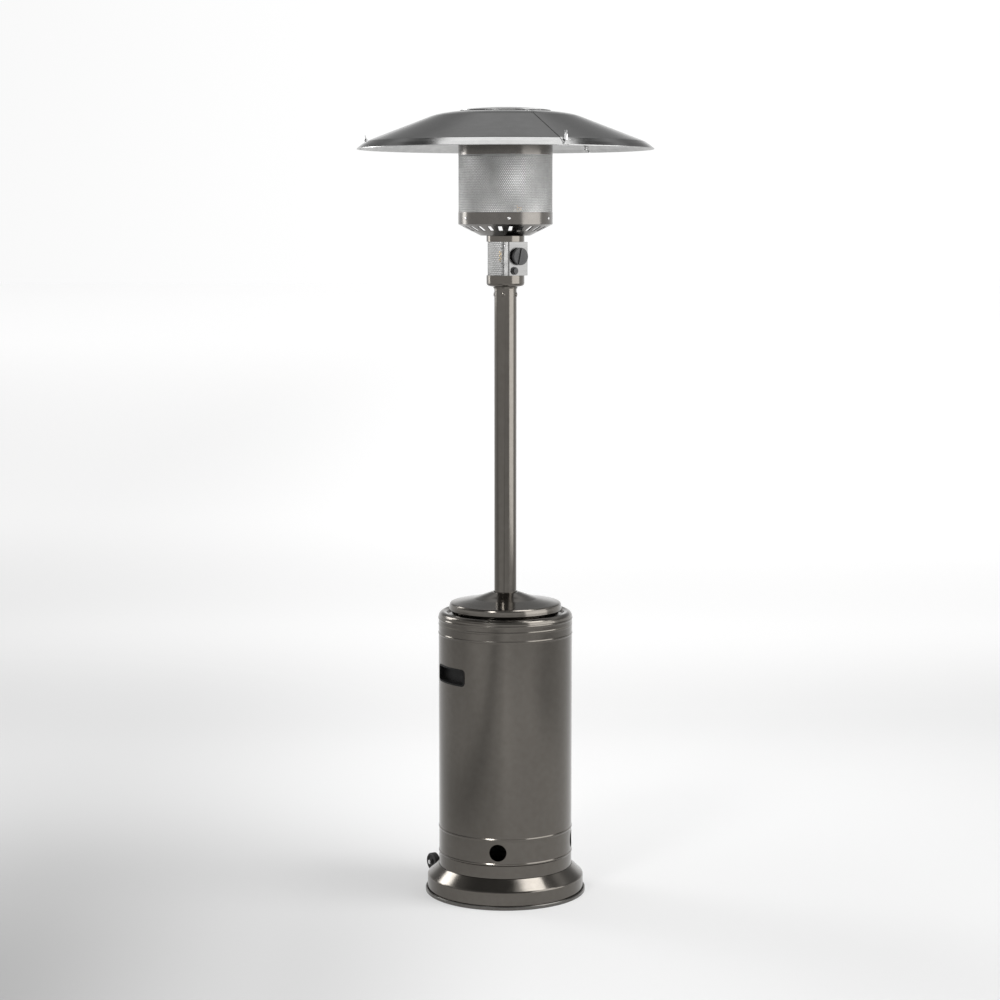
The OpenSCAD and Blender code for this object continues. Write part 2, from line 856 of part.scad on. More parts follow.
// Ring that follows the sloping brim, between two heights measured from the top face of the panels.
module brim_ring(low, high) {
    brim = [for (i = [0:3]) refl_top[i]];
    rotate_extrude() polygon(concat(raised(brim, high), reversed(raised(brim, low))));
}

// Bolts that join the reflector panels at the seams, with heads shaped to the slope below.
module seam_bolts() {
    color([0.72, 0.72, 0.74]) {
        for (b = seam_bearings) {
            at_bearing(b) translate([seam_bolt_r, 0, bolt_head_z]) cylinder(r = 3, h = 26);
        }
        difference() {
            for (b = seam_bearings) {
                at_bearing(b) translate([seam_bolt_r, 0, bolt_head_z]) cylinder(r = 5.5, h = 12);
            }
            brim_ring(-refl_t - 0.3 - seat_gap, 30);
        }
    }
}

// One wing nut with a long hub that is trimmed where it stands.
module wing_nut() {
    difference() {
        union() {
            translate([0, 0, -10]) cylinder(r = 5.5, h = 19);
            for (s = [-1, 1]) {
                rotate([0, 0, 90 + 90 * s]) translate([0, 1, 0]) rotate([90, 0, 0])
                    linear_extrude(height = 2)
                        polygon([[4, 1], [8, 3], [13, 12], [12.5, 19], [9.5, 19], [6.5, 10], [4, 9]]);
            }
        }
        translate([0, 0, -11]) cylinder(r = 3, h = 30);
    }
}

// Wing nuts on the seam bolts, each stopped at its own angle, with hubs shaped to the lap below.
module wing_nuts() {
    color([0.85, 0.85, 0.85])
        difference() {
            for (i = [0:2]) {
                at_bearing(seam_bearings[i]) translate([seam_bolt_r, 0, nut_base_z])
                    rotate([0, 0, nut_turns[i]]) wing_nut();
            }
            brim_ring(-30, lap_gap + lap_t + seat_gap);
        }
}

// Sheet-metal drum that hides the gas cylinder: beads, vent holes, handle slots and a rounded shoulder.
module tank_housing() {
    outer = concat(
        [[housing_r, housing_foot_z]],
        bead(bead_heights[0], bead_out), bead(bead_heights[1], bead_out), bead(bead_heights[2], bead_out),
        bead(fine_bead_z, bead_out / 2), bead(bead_heights[3], bead_out),
        quarter(housing_r - shoulder_round, shoulder_z - shoulder_round, shoulder_round, 8),
        [
            [ledge_outer_r + 1.6, shoulder_z - 1.6], [ledge_outer_r, shoulder_z - 4],
            [ledge_outer_r, ledge_z], [ledge_inner_r, ledge_z]
        ]
    );
    inner = [
        [ledge_inner_r, ledge_z - housing_wall],
        [ledge_outer_r + 1.3, ledge_z - housing_wall],
        [ledge_outer_r + 1.3, shoulder_z - 4.6],
        [housing_r - shoulder_round, shoulder_z - 2 * housing_wall],
        [housing_r - 8, shoulder_z - 6.4],
        [housing_r - housing_wall - 1.4, shoulder_z - shoulder_round + 1],
        [housing_r - housing_wall, shoulder_z - shoulder_round - 6],
        [housing_r - housing_wall, housing_foot_z]
    ];
    color([0.38, 0.36, 0.34])
        difference() {
            rotate_extrude() polygon(concat(outer, inner));
            for (b = vent_bearings) {
                at_bearing(b) radial_bar(housing_r - 20, housing_r + 10, vent_z, vent_r);
            }
            for (b = [90, 270]) {
                at_bearing(b) slot_bar(120, housing_r + 10, handle_w, handle_h, cup_round, handle_z);
            }
            for (b = [45, 135, 225, 315]) {
                at_bearing(b) translate([lid_screw_r, 0, ledge_z - 4]) cylinder(r = 2.2, h = 8);
            }
        }
}

// Bar shaped like the handle slot but smaller all round, from x0 outwards through the housing wall.
module cup_bar(x0, smaller) {
    slot_bar(x0, housing_r + 6, handle_w - smaller, handle_h - smaller, cup_round - smaller / 2, handle_z);
}

// Recessed tray behind one handle slot, for a cup on the bearing given.
module handle_cup(bearing) {
    color([0.04, 0.04, 0.04])
        at_bearing(bearing)
            union() {
                difference() {
                    intersection() {
                        cup_bar(cup_back_x, 0.4);
                        translate([0, 0, handle_z - 40]) cylinder(r = housing_r + 0.8, h = 80);
                    }
                    cup_bar(cup_back_x + cup_wall, 3.4);
                }
                difference() {
                    intersection() {
                        cup_bar(150, -5);
                        translate([0, 0, handle_z - 40]) cylinder(r = housing_r + 1.2, h = 80);
                    }
                    translate([0, 0, handle_z - 41]) cylinder(r = housing_r, h = 82);
                    cup_bar(120, 3.4);
                }
            }
}

module handle_cup_left() {
    handle_cup(270);
}

module handle_cup_right() {
    handle_cup(90);
}

// Stamped lid with a rolled rim and a shallow cone that rises to the post.
module housing_lid() {
    top = [
        [150, shoulder_z + 24.6], [135, shoulder_z + 27.4], [120, shoulder_z + 30.4], [90, lid_top_z - 18],
        [72, lid_top_z - 12.5], [60, lid_top_z - 8], [48, lid_top_z - 3.8], [41, lid_top_z - 1.2],
        [37, lid_top_z], [lid_hole_r, lid_top_z]
    ];
    color([0.38, 0.36, 0.34])
        difference() {
            rotate_extrude()
                polygon(concat(
                    [
                        [135, ledge_z], [150, ledge_z], [150, shoulder_z + 1.5],
                        [lid_r - 3, shoulder_z + 2], [lid_r - 0.9, shoulder_z + 3.2],
                        [lid_r, shoulder_z + 5.5], [lid_r - 0.4, shoulder_z + 12],
                        [lid_r - 1.4, shoulder_z + 18], [lid_r - 2.6, shoulder_z + 21.4],
                        [lid_r - 4.8, shoulder_z + 23.6]
                    ],
                    top,
                    reversed(raised(top, -sheet - 0.2)),
                    [[148.8, shoulder_z + 20], [148.8, ledge_z + sheet], [135, ledge_z + sheet]]
                ));
            for (b = [45, 135, 225, 315]) {
                at_bearing(b) translate([lid_screw_r, 0, ledge_z - 4]) cylinder(r = 2.2, h = 8);
            }
        }
}

// Screws that hold the lid on the housing ledge, driven from below.
module lid_screws() {
    color([0.65, 0.65, 0.66])
        for (b = [45, 135, 225, 315]) {
            at_bearing(b) {
                translate([lid_screw_r, 0, ledge_z - housing_wall]) cylinder(r = 2, h = 7);
                translate([lid_screw_r, 0, ledge_z - housing_wall]) mirror([0, 0, 1]) dome_head(4, 2.2);
            }
        }
}

// Bracket behind the base: a curved plate with two ears for the axle.
module wheel_bracket() {
    color([0.07, 0.07, 0.07])
        difference() {
            union() {
                rotate([0, 0, 69]) rotate_extrude(angle = 42)
                    translate([skirt_r + 0.05, 20]) square([3, 27]);
                for (s = [-1, 1]) {
                    translate([s * ear_x - 1.5, 0, 0]) rotate([90, 0, 90]) linear_extrude(height = 3)
                        polygon([
                            [208.5, 20], [228, 20], [axle_y + 6, axle_z - 9], [axle_y + 10, axle_z - 3],
                            [axle_y + 10, axle_z + 3], [axle_y + 6, axle_z + 8.4], [208.5, 47]
                        ]);
                }
            }
            translate([-100, axle_y, axle_z]) rotate([0, 90, 0]) cylinder(r = axle_r, h = 200);
            for (b = [166, 194]) {
                at_bearing(b) radial_bar(skirt_r - 6, skirt_r + 8, 34, 3.2);
            }
        }
}

// Axle across the back of the base, with the two bolts of its bracket.
module wheel_axle() {
    color([0.70, 0.70, 0.72]) {
        translate([-111, axle_y, axle_z]) rotate([0, 90, 0]) cylinder(r = axle_r, h = 222);
        for (b = [166, 194]) {
            at_bearing(b) radial_bar(skirt_r - 6, skirt_r + 3.05, 34, 3);
            at_bearing(b) translate([skirt_r + 3.05, 0, 34]) rotate([0, 90, 0]) dome_head(5.5, 3.2);
        }
    }
}

// Solid rubber-look wheel with a hub, for the side given by s.
module wheel(s) {
    color([0.04, 0.04, 0.04])
        translate([0, axle_y, axle_z]) rotate([0, s * 90, 0])
            rotate_extrude()
                polygon([
                    [axle_r + 0.4, ear_x + 3], [9, ear_x + 3], [9, wheel_in + 3], [18, wheel_in + 3],
                    [19, wheel_in], [wheel_r - 2, wheel_in], [wheel_r, wheel_in + 2],
                    [wheel_r, wheel_out - 2],
                    [wheel_r - 2, wheel_out], [19, wheel_out], [18, wheel_out - 3], [9, wheel_out - 3],
                    [9, wheel_out], [axle_r + 0.4, wheel_out]
                ]);
}

module wheel_left() {
    wheel(-1);
}

module wheel_right() {
    wheel(1);
}

// Bright nuts on the axle ends.
module axle_nuts() {
    color([0.85, 0.85, 0.85])
        for (s = [-1, 1]) {
            translate([0, axle_y, axle_z]) rotate([0, s * 90, 0]) translate([0, 0, wheel_out + 1])
                difference() {
                    cylinder(r = 7, h = 5, $fn = 6);
                    translate([0, 0, -1]) cylinder(r = axle_r, h = 7);
                }
        }
}

base_plate();
base_cover();
tank_ring();
leg_back();
leg_right();
leg_left();
leg_bolts();
post_socket();
socket_screws();
post();
post_screws();
lower_collar();
head_sleeve();
upper_collar();
control_box();
box_screws();
gas_valve();
valve_plug();
knob();
knob_stem();
igniter_body();
igniter_bezel();
igniter_button();
tilt_switch();
gas_hose();
regulator();
coupling_nut();
gas_tube();
burner_cup();
burner_plate();
pilot_bracket();
pilot_tube();
thermocouple();
spark_electrode();
burner_pan();
pan_screws();
emitter_band();
band_screws();
emitter_screen();
top_band();
top_baffle();
reflector_studs();
stud_spacers();
stud_nuts();
reflector_panel_a();
reflector_panel_b();
reflector_panel_c();
reflector_cap();
seam_bolts();
wing_nuts();
tank_housing();
handle_cup_left();
handle_cup_right();
housing_lid();
lid_screws();
wheel_bracket();
wheel_axle();
wheel_left();
wheel_right();
axle_nuts();
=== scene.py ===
import bpy
import json
import math
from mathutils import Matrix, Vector


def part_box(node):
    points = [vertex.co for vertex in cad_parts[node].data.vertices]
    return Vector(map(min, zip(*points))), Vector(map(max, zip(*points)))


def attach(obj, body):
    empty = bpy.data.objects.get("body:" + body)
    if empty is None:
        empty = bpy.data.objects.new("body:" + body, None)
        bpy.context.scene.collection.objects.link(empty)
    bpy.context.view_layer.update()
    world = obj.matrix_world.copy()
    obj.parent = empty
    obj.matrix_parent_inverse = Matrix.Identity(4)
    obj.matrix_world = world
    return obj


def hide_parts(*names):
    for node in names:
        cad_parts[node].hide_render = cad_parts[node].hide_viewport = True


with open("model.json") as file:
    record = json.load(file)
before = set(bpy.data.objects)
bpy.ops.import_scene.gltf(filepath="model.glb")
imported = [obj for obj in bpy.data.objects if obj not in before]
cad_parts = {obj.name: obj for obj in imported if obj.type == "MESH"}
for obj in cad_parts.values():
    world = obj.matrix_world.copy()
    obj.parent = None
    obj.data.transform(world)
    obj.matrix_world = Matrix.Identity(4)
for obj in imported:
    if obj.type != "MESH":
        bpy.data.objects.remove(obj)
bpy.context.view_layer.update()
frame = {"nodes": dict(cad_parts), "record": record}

# ---------------------------------------------------------------- viewpoint
# The heater's front is -Y. The camera stands in front of it, towards -X, a little below the reflector's brim.
# Lengths are metres; the lens and the sensor are millimetres.
VIEW_TURN = math.radians(-32.5)
VIEW_DISTANCE = 6.7
VIEW_HEIGHT = 1.886
VIEW_PITCH = math.radians(6.55)
VIEW_AIM = math.radians(0.129)
VIEW_REACH = 200
LENS = 86.6
SENSOR_WIDTH = 36
RIGHT = Vector((math.cos(VIEW_TURN), math.sin(VIEW_TURN), 0))
AWAY = Vector((-math.sin(VIEW_TURN), math.cos(VIEW_TURN), 0))


def seen_from_camera(right, away, up):
    """A point given to the right of, behind and above the middle of the floor, as the camera sees it."""
    return RIGHT * right + AWAY * away + Vector((0, 0, up))


def make_camera():
    data = bpy.data.cameras.new("camera")
    data.sensor_width = SENSOR_WIDTH
    data.lens = LENS
    data.clip_end = VIEW_REACH
    cam = bpy.data.objects.new("camera", data)
    cam.location = seen_from_camera(0, -VIEW_DISTANCE, VIEW_HEIGHT)
    cam.rotation_euler = (math.pi / 2 - VIEW_PITCH, 0, VIEW_TURN + VIEW_AIM)
    bpy.context.collection.objects.link(cam)
    bpy.context.scene.camera = cam


make_camera()


# ---------------------------------------------------------------- materials
# Noise seldom leaves this range, so this is the part that is stretched over a ramp.
NOISE_LOW = 0.3
NOISE_HIGH = 0.7
# Patches of gloss are this much coarser than patches of colour.
GLOSS_SCALE = 0.35
# Sockets of a mix node by place: first value, second value, result.
NUMBER_A, NUMBER_B, NUMBER_OUT = 2, 3, 0
COLOUR_A, COLOUR_B, COLOUR_OUT = 6, 7, 2


def new_material(name):
    mat = bpy.data.materials.new(name)
    mat.use_nodes = True
    tree = mat.node_tree
    return mat, tree, tree.nodes["Principled BSDF"]


def noise(tree, scale, detail=4, stretch=(1, 1, 1)):
    """Noise in the object's own metres, stretched for brushed or drawn metal."""
    coords = tree.nodes.new("ShaderNodeTexCoord")
    place = tree.nodes.new("ShaderNodeMapping")
    place.inputs["Scale"].default_value = stretch
    tex = tree.nodes.new("ShaderNodeTexNoise")
    tex.inputs["Scale"].default_value = scale
    tex.inputs["Detail"].default_value = detail
    tree.links.new(coords.outputs["Object"], place.inputs["Vector"])
    tree.links.new(place.outputs["Vector"], tex.inputs["Vector"])
    return tex.outputs["Fac"]


def ramp(tree, fac, low, high):
    """Maps noise to a range of colours."""
    node = tree.nodes.new("ShaderNodeValToRGB")
    node.color_ramp.elements[0].position = NOISE_LOW
    node.color_ramp.elements[0].color = (*low, 1)
    node.color_ramp.elements[1].position = NOISE_HIGH
    node.color_ramp.elements[1].color = (*high, 1)
    tree.links.new(fac, node.inputs["Fac"])
    return node.outputs["Color"]


def spread(tree, fac, low, high):
    """Maps noise to a range of numbers."""
    node = tree.nodes.new("ShaderNodeMapRange")
    node.inputs["From Min"].default_value = NOISE_LOW
    node.inputs["From Max"].default_value = NOISE_HIGH
    node.inputs["To Min"].default_value = low
    node.inputs["To Max"].default_value = high
    tree.links.new(fac, node.inputs["Value"])
    return node.outputs["Result"]


def bump(tree, height, strength, distance):
    """Fine relief, distance metres deep."""
    node = tree.nodes.new("ShaderNodeBump")
    node.inputs["Strength"].default_value = strength
    node.inputs["Distance"].default_value = distance
    tree.links.new(height, node.inputs["Height"])
    return node.outputs["Normal"]


def blend_numbers(tree, share, a, b):
    """Number a where share is 0, and b where it is 1."""
    node = tree.nodes.new("ShaderNodeMix")
    tree.links.new(share, node.inputs["Factor"])
    tree.links.new(a, node.inputs[NUMBER_A])
    tree.links.new(b, node.inputs[NUMBER_B])
    return node.outputs[NUMBER_OUT]


def colour_mix(tree, a, b):
    node = tree.nodes.new("ShaderNodeMix")
    node.data_type = "RGBA"
    tree.links.new(a, node.inputs[COLOUR_A])
    tree.links.new(b, node.inputs[COLOUR_B])
    return node


def blend_colours(tree, share, a, b):
    """Colour a where share is 0, and b where it is 1."""
    node = colour_mix(tree, a, b)
    tree.links.new(share, node.inputs["Factor"])
    return node.outputs[COLOUR_OUT]


def multiply(tree, a, b):
    node = colour_mix(tree, a, b)
    node.blend_type = "MULTIPLY"
    node.inputs["Factor"].default_value = 1.0
    return node.outputs[COLOUR_OUT]


def surface(name, low, high, rough, metallic=0.0, grain=90, fine=1400, bump_size=0.00012, bump_strength=0.15,
            stretch=(1, 1, 1), specular=0.5):
    """General material: colour patches, uneven gloss and fine relief."""
    mat, tree, bsdf = new_material(name)
    patches = noise(tree, grain, 5, stretch)
    tree.links.new(ramp(tree, patches, low, high), bsdf.inputs["Base Color"])
    gloss = noise(tree, grain * GLOSS_SCALE, 3, stretch)
    tree.links.new(spread(tree, gloss, *rough), bsdf.inputs["Roughness"])
    relief = bump(tree, noise(tree, fine, 3, stretch), bump_strength, bump_size)
    tree.links.new(relief, bsdf.inputs["Normal"])
    bsdf.inputs["Metallic"].default_value = metallic
    bsdf.inputs["Specular IOR Level"].default_value = specular
    return mat


def two_sided_metal(name, top, under, rough_top, rough_under):
    """Sheet metal that is painted on the faces that look up and bare on the faces that look down."""
    mat, tree, bsdf = new_material(name)
    geometry = tree.nodes.new("ShaderNodeNewGeometry")
    split = tree.nodes.new("ShaderNodeSeparateXYZ")
    tree.links.new(geometry.outputs["True Normal"], split.inputs["Vector"])
    side = tree.nodes.new("ShaderNodeMapRange")
    side.inputs["From Min"].default_value = -0.02
    side.inputs["From Max"].default_value = 0.02
    tree.links.new(split.outputs["Z"], side.inputs["Value"])
    patches = noise(tree, 45, 4)
    bare_tint, paint_tint = ramp(tree, patches, *under), ramp(tree, patches, *top)
    tree.links.new(blend_colours(tree, side.outputs["Result"], bare_tint, paint_tint), bsdf.inputs["Base Color"])
    gloss = noise(tree, 16, 3)
    bare_rough, paint_rough = spread(tree, gloss, *rough_under), spread(tree, gloss, *rough_top)
    tree.links.new(blend_numbers(tree, side.outputs["Result"], bare_rough, paint_rough), bsdf.inputs["Roughness"])
    tree.links.new(bump(tree, noise(tree, 700, 3), 0.08, 0.00005), bsdf.inputs["Normal"])
    bsdf.inputs["Metallic"].default_value = 1.0
    return mat


# Each finish: its two colours, its range of roughness, then what differs from the defaults of surface().
FINISHES = {
    "gunmetal_paint": dict(low=(0.128, 0.118, 0.105), high=(0.140, 0.130, 0.117), rough=(0.13, 0.18),
                           metallic=1.0, grain=60, fine=900, bump_size=0.00004, bump_strength=0.08),
    "ring_paint": dict(low=(0.12, 0.115, 0.108), high=(0.15, 0.145, 0.135), rough=(0.20, 0.28),
                       metallic=1.0, grain=60, fine=900, bump_size=0.00005, bump_strength=0.10),
    "emitter_trim": dict(low=(0.125, 0.118, 0.110), high=(0.140, 0.132, 0.122), rough=(0.16, 0.22),
                         metallic=1.0, grain=70, fine=900, bump_size=0.00005, bump_strength=0.10),
    "screen_steel": dict(low=(0.39, 0.39, 0.385), high=(0.45, 0.45, 0.445), rough=(0.60, 0.70),
                         metallic=0.75, grain=80, fine=1500, bump_size=0.00005, bump_strength=0.1),
    "panel_metal": dict(low=(0.150, 0.149, 0.147), high=(0.178, 0.177, 0.174), rough=(0.22, 0.30),
                        metallic=1.0, grain=160, fine=1500, bump_size=0.00005, bump_strength=0.15,
                        stretch=(0.06, 1, 1)),
    "black_plastic": dict(low=(0.008, 0.008, 0.008), high=(0.016, 0.016, 0.016), rough=(0.34, 0.46),
                          grain=150, fine=2500, bump_size=0.00008, bump_strength=0.2),
    # A darker, duller copy of black_plastic for the handle cups: painted shade in their pockets.
    "shaded_cup_plastic": dict(low=(0.004, 0.004, 0.004), high=(0.008, 0.008, 0.008), rough=(0.5, 0.62),
                        grain=150, fine=2500, bump_size=0.00008, bump_strength=0.2, specular=0.2),
    "black_steel": dict(low=(0.015, 0.015, 0.015), high=(0.028, 0.028, 0.028), rough=(0.36, 0.5),
                        grain=90, fine=1200, bump_size=0.0001, bump_strength=0.2),
    "wheel_plastic": dict(low=(0.010, 0.010, 0.010), high=(0.022, 0.022, 0.022), rough=(0.5, 0.65),
                          grain=150, fine=1800, bump_size=0.00015, bump_strength=0.3),
    "hose_rubber": dict(low=(0.012, 0.012, 0.012), high=(0.02, 0.02, 0.02), rough=(0.5, 0.65),
                        grain=200, fine=1800, bump_size=0.0001, bump_strength=0.3),
    "brass": dict(low=(0.66, 0.45, 0.18), high=(0.78, 0.56, 0.26), rough=(0.24, 0.38),
                  metallic=1.0, grain=160, fine=1500),
    "cast_metal": dict(low=(0.36, 0.37, 0.38), high=(0.44, 0.45, 0.46), rough=(0.42, 0.55),
                       metallic=1.0, grain=200, fine=1200, bump_size=0.0002, bump_strength=0.3),
    "zinc": dict(low=(0.62, 0.62, 0.62), high=(0.76, 0.76, 0.76), rough=(0.18, 0.28),
                 metallic=1.0, grain=300, fine=2000),
    "ceramic": dict(low=(0.80, 0.78, 0.73), high=(0.88, 0.86, 0.82), rough=(0.30, 0.42),
                    grain=200, fine=1500),
}

MATERIALS = {name: surface(name, **finish) for name, finish in FINISHES.items()}
MATERIALS["reflector_metal"] = two_sided_metal("reflector_metal",
                                               top=((0.122, 0.122, 0.121), (0.136, 0.136, 0.135)),
                                               under=((0.46, 0.46, 0.455), (0.54, 0.54, 0.535)),
                                               rough_top=(0.13, 0.18), rough_under=(0.34, 0.44))
SLOT_OF = {s["node"]: s["material_slot"] for s in frame["record"]["subparts"]}
# The handle cups take the darker copy of black plastic, which paints shade into their pockets.
FINISH_OF = {**SLOT_OF, "handle_cup_left": "shaded_cup_plastic", "handle_cup_right": "shaded_cup_plastic"}


def paint_cad_nodes():
    for name, obj in frame["nodes"].items():
        if not obj.material_slots:
            obj.data.materials.append(None)
        for slot in obj.material_slots:
            slot.material = MATERIALS[FINISH_OF[name]]


paint_cad_nodes()


# ---------------------------------------------------------------- perforated sheets
def add_mesh(name, verts, faces, material, body, smooth=False):
    mesh = bpy.data.meshes.new(name)
    mesh.from_pydata(verts, [], faces)
    mesh.validate()
    mesh.update()
    for face in mesh.polygons:
        face.use_smooth = smooth
    mesh.materials.append(MATERIALS[material])
    obj = bpy.data.objects.new(name, mesh)
    bpy.context.collection.objects.link(obj)
    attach(obj, body)
    return obj


def tube_faces(verts, faces, outer, inner, low, high, count):
    """Adds a plain tube to the lists."""
    base = len(verts)
    for i in range(count):
        a = 2 * math.pi * i / count
        for radius, z in ((outer, low), (outer, high), (inner, high), (inner, low)):
            verts.append((radius * math.cos(a), radius * math.sin(a), z))
    for i in range(count):
        a = base + 4 * i
        b = base + 4 * ((i + 1) % count)
        for k in range(4):
            n = (k + 1) % 4
            faces.append((a + k, b + k, b + n, a + n))


def perforated(verts, faces, outer, inner, low, rows, row_h, columns, hole, start, sweep):
    """Adds a tube wall with six-sided holes, one to a column; alternate rows shift by half a column."""
    closed = math.isclose(sweep, 2 * math.pi)
    halves = 2 * columns
    step = sweep / halves
    around = halves if closed else halves + 1
    grid = len(verts)
    for i in range(rows + 1):
        for j in range(around):
            a = start + step * j
            for radius in (outer, inner):
                verts.append((radius * math.cos(a), radius * math.sin(a), low + i * row_h))

    def at(i, j, side):
        return grid + 2 * (i * around + (j % around if closed else j)) + side

    def plain(i, j):
        faces.append((at(i, j, 0), at(i, j + 1, 0), at(i + 1, j + 1, 0), at(i + 1, j, 0)))
        faces.append((at(i, j, 1), at(i + 1, j, 1), at(i + 1, j + 1, 1), at(i, j + 1, 1)))

    for i in range(rows):
        first = i % 2
        cells = columns if closed or not first else columns - 1
        if not closed and first:
            plain(i, 0)
            plain(i, halves - 1)
        for c in range(cells):
            j = first + 2 * c
            rim = [(i, j), (i, j + 1), (i, j + 2), (i + 1, j + 2), (i + 1, j + 1), (i + 1, j)]
            mid_a = start + step * (j + 1)
            mid_z = low + (i + 0.5) * row_h
            ring = len(verts)
            for k in range(6):
                turn = math.radians(-150 + 60 * k)
                a = mid_a + hole * math.cos(turn) / outer
                z = mid_z + hole * math.sin(turn)
                for radius in (outer, inner):
                    verts.append((radius * math.cos(a), radius * math.sin(a), z))
            for k in range(6):
                n = (k + 1) % 6
                o0, o1 = at(*rim[k], 0), at(*rim[n], 0)
                i0, i1 = at(*rim[k], 1), at(*rim[n], 1)
                h0, h1 = ring + 2 * k, ring + 2 * n
                faces.append((o0, o1, h1, h0))
                faces.append((i1, i0, h0 + 1, h1 + 1))
                faces.append((h0, h1, h1 + 1, h0 + 1))
    for i, upper in ((0, False), (rows, True)):
        for j in range(halves):
            face = (at(i, j, 0), at(i, j, 1), at(i, j + 1, 1), at(i, j + 1, 0))
            faces.append(face[::-1] if upper else face)
    if not closed:
        for i in range(rows):
            faces.append((at(i, 0, 0), at(i + 1, 0, 0), at(i + 1, 0, 1), at(i, 0, 1)))
            faces.append((at(i, halves, 1), at(i + 1, halves, 1), at(i + 1, halves, 0), at(i, halves, 0)))


SHEET = 0.001
SCREEN_PITCH = 0.0054
SCREEN_HOLE = 0.0018
SCREEN_STEPS = 192
SLEEVE_PITCH = 0.0058
SLEEVE_HOLE = 0.0020
SLEEVE_STEPS = 120
# Height of a row of staggered holes, in pitches.
ROW_PITCH = 0.866
# The screen's holes start this far behind the edges of the two bands that hold it.
BAND_COVERS = 0.004
# The sleeve's opening is this much wider than the control box.
BOX_CLEARANCE = 1.015


def build_sheet(node, outer, start_z, end_z, pitch, hole, steps, start=0.0, half_gap=0.0):
    """A rolled sheet in place of a CAD node: perforated from start_z to end_z, and plain below and above."""
    low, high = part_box(node)
    inner = outer - SHEET
    sweep = 2 * math.pi - 2 * half_gap
    columns = round(outer * sweep / pitch)
    rows = 2 * round((end_z - start_z) / (pitch * ROW_PITCH) / 2)
    row_h = (end_z - start_z) / rows
    verts, faces = [], []
    perforated(verts, faces, outer, inner, start_z, rows, row_h, columns, hole, start, sweep)
    tube_faces(verts, faces, outer, inner, low.z, start_z, steps)
    tube_faces(verts, faces, outer, inner, end_z, high.z, steps)
    obj = add_mesh(node + "_perforated", verts, faces, "screen_steel", "stand")
    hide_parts(node)


def build_emitter_screen():
    """The emitter screen, perforated between its two bands."""
    start_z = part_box("emitter_band")[1].z - BAND_COVERS
    end_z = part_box("top_band")[0].z + BAND_COVERS
    build_sheet("emitter_screen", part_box("emitter_screen")[1].x, start_z, end_z,
                SCREEN_PITCH, SCREEN_HOLE, SCREEN_STEPS)


def build_head_sleeve():
    """The perforated sleeve of the control head, open at the front for the control box."""
    low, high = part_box("head_sleeve")
    outer = (high.x - low.x) / 2
    half_gap = math.asin(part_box("control_box")[1].x * BOX_CLEARANCE / outer)
    build_sheet("head_sleeve", outer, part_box("lower_collar")[1].z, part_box("upper_collar")[0].z,
                SLEEVE_PITCH, SLEEVE_HOLE, SLEEVE_STEPS, start=half_gap - math.pi / 2, half_gap=half_gap)


build_emitter_screen()
build_head_sleeve()


# ---------------------------------------------------------------- studio
def level(tree, value, points):
    """Piecewise brightness: points are (value, brightness) pairs, both from 0 to 1."""
    node = tree.nodes.new("ShaderNodeValToRGB")
    node.color_ramp.interpolation = "EASE"
    elements = node.color_ramp.elements
    while len(elements) < len(points):
        elements.new(0.5)
    for element, (where, bright) in zip(elements, points):
        element.position = where
        element.color = (bright, bright, bright, 1)
    tree.links.new(value, node.inputs["Fac"])
    return node.outputs["Color"]


def rescale(tree, value, low, high):
    """Maps low..high to 0..1."""
    node = tree.nodes.new("ShaderNodeMapRange")
    node.inputs["From Min"].default_value = low
    node.inputs["From Max"].default_value = high
    tree.links.new(value, node.inputs["Value"])
    return node.outputs["Result"]


def split_axes(tree, turn):
    """X, Y and Z of the generated direction or object position, turned to the viewpoint's own right and away."""
    coords = tree.nodes.new("ShaderNodeTexCoord")
    place = tree.nodes.new("ShaderNodeMapping")
    place.inputs["Rotation"].default_value = (0, 0, turn)
    split = tree.nodes.new("ShaderNodeSeparateXYZ")
    tree.links.new(place.outputs["Vector"], split.inputs["Vector"])
    return coords, place, split


# The world behind the floor darkens towards the left, and the floor's far edge gets the same painted shade, so no
# edge shows.
FLOOR_HALF = 70
HORIZON_SIDE = 0.27
HORIZON_SHADE = [(0.0, 0.92), (1.0, 1.0)]
# A lit floor looks this much brighter than the world does at the same value.
FLOOR_TO_WORLD = 1.04
FLOOR_EDGE = [(where, bright / FLOOR_TO_WORLD) for where, bright in HORIZON_SHADE]
# Strips of painted shade on the floor, nearest first: left and right end in metres, then brightness from left to
# right. They paint the light thinning out towards the near left, and the nearest strip's dip is a painted shadow
# to the left of the heater's base.
FLOOR_SHADE_STRIPS = [
    (-4.0, 2.0, [(0.0, 0.98), (0.30, 0.96), (0.44, 0.50), (0.57, 0.78), (0.68, 1.0), (0.87, 0.86),
                 (1.0, 0.86)]),
    (-4.0, 2.0, [(0.0, 0.90), (0.25, 0.80), (0.42, 0.76), (0.66, 1.0), (1.0, 0.98)]),
    (-9.0, 3.0, [(0.0, 0.79), (0.5, 0.85), (0.76, 1.0), (1.0, 1.0)]),
    (-HORIZON_SIDE * FLOOR_HALF, 0.0, FLOOR_EDGE),
]
# Metres behind the heater over which each strip gives way to the next.
STRIP_JOINS = [(-1.1, 1.2), (1.0, 5.0), (8.0, 34.0)]
# Colour and painted glow of the floor from in front of the heater to far behind it, with each one's reach in
# metres; the glow is painted light that brightens the floor into the white far away.
BASE_REACH = (-2.0, 10.0)
GLOW_REACH = (-3.0, 9.0)
FLOOR_BASE = [(0.0, 0.48), (0.3, 0.50), (1.0, 0.5)]
FLOOR_GLOW = [(0.0, 0.58), (0.15, 0.30), (0.25, 0.33), (0.42, 0.45), (0.64, 0.70), (1.0, 0.84)]
# Brightness of the world from the horizon up.
WORLD_HEIGHT = [(0.0, 1.0), (0.15, 1.0), (0.27, 0.5), (0.36, 0.34), (0.5, 0.34), (0.64, 0.74), (0.75, 0.28),
                (0.9, 0.14)]
WORLD_STRENGTH = 1.02
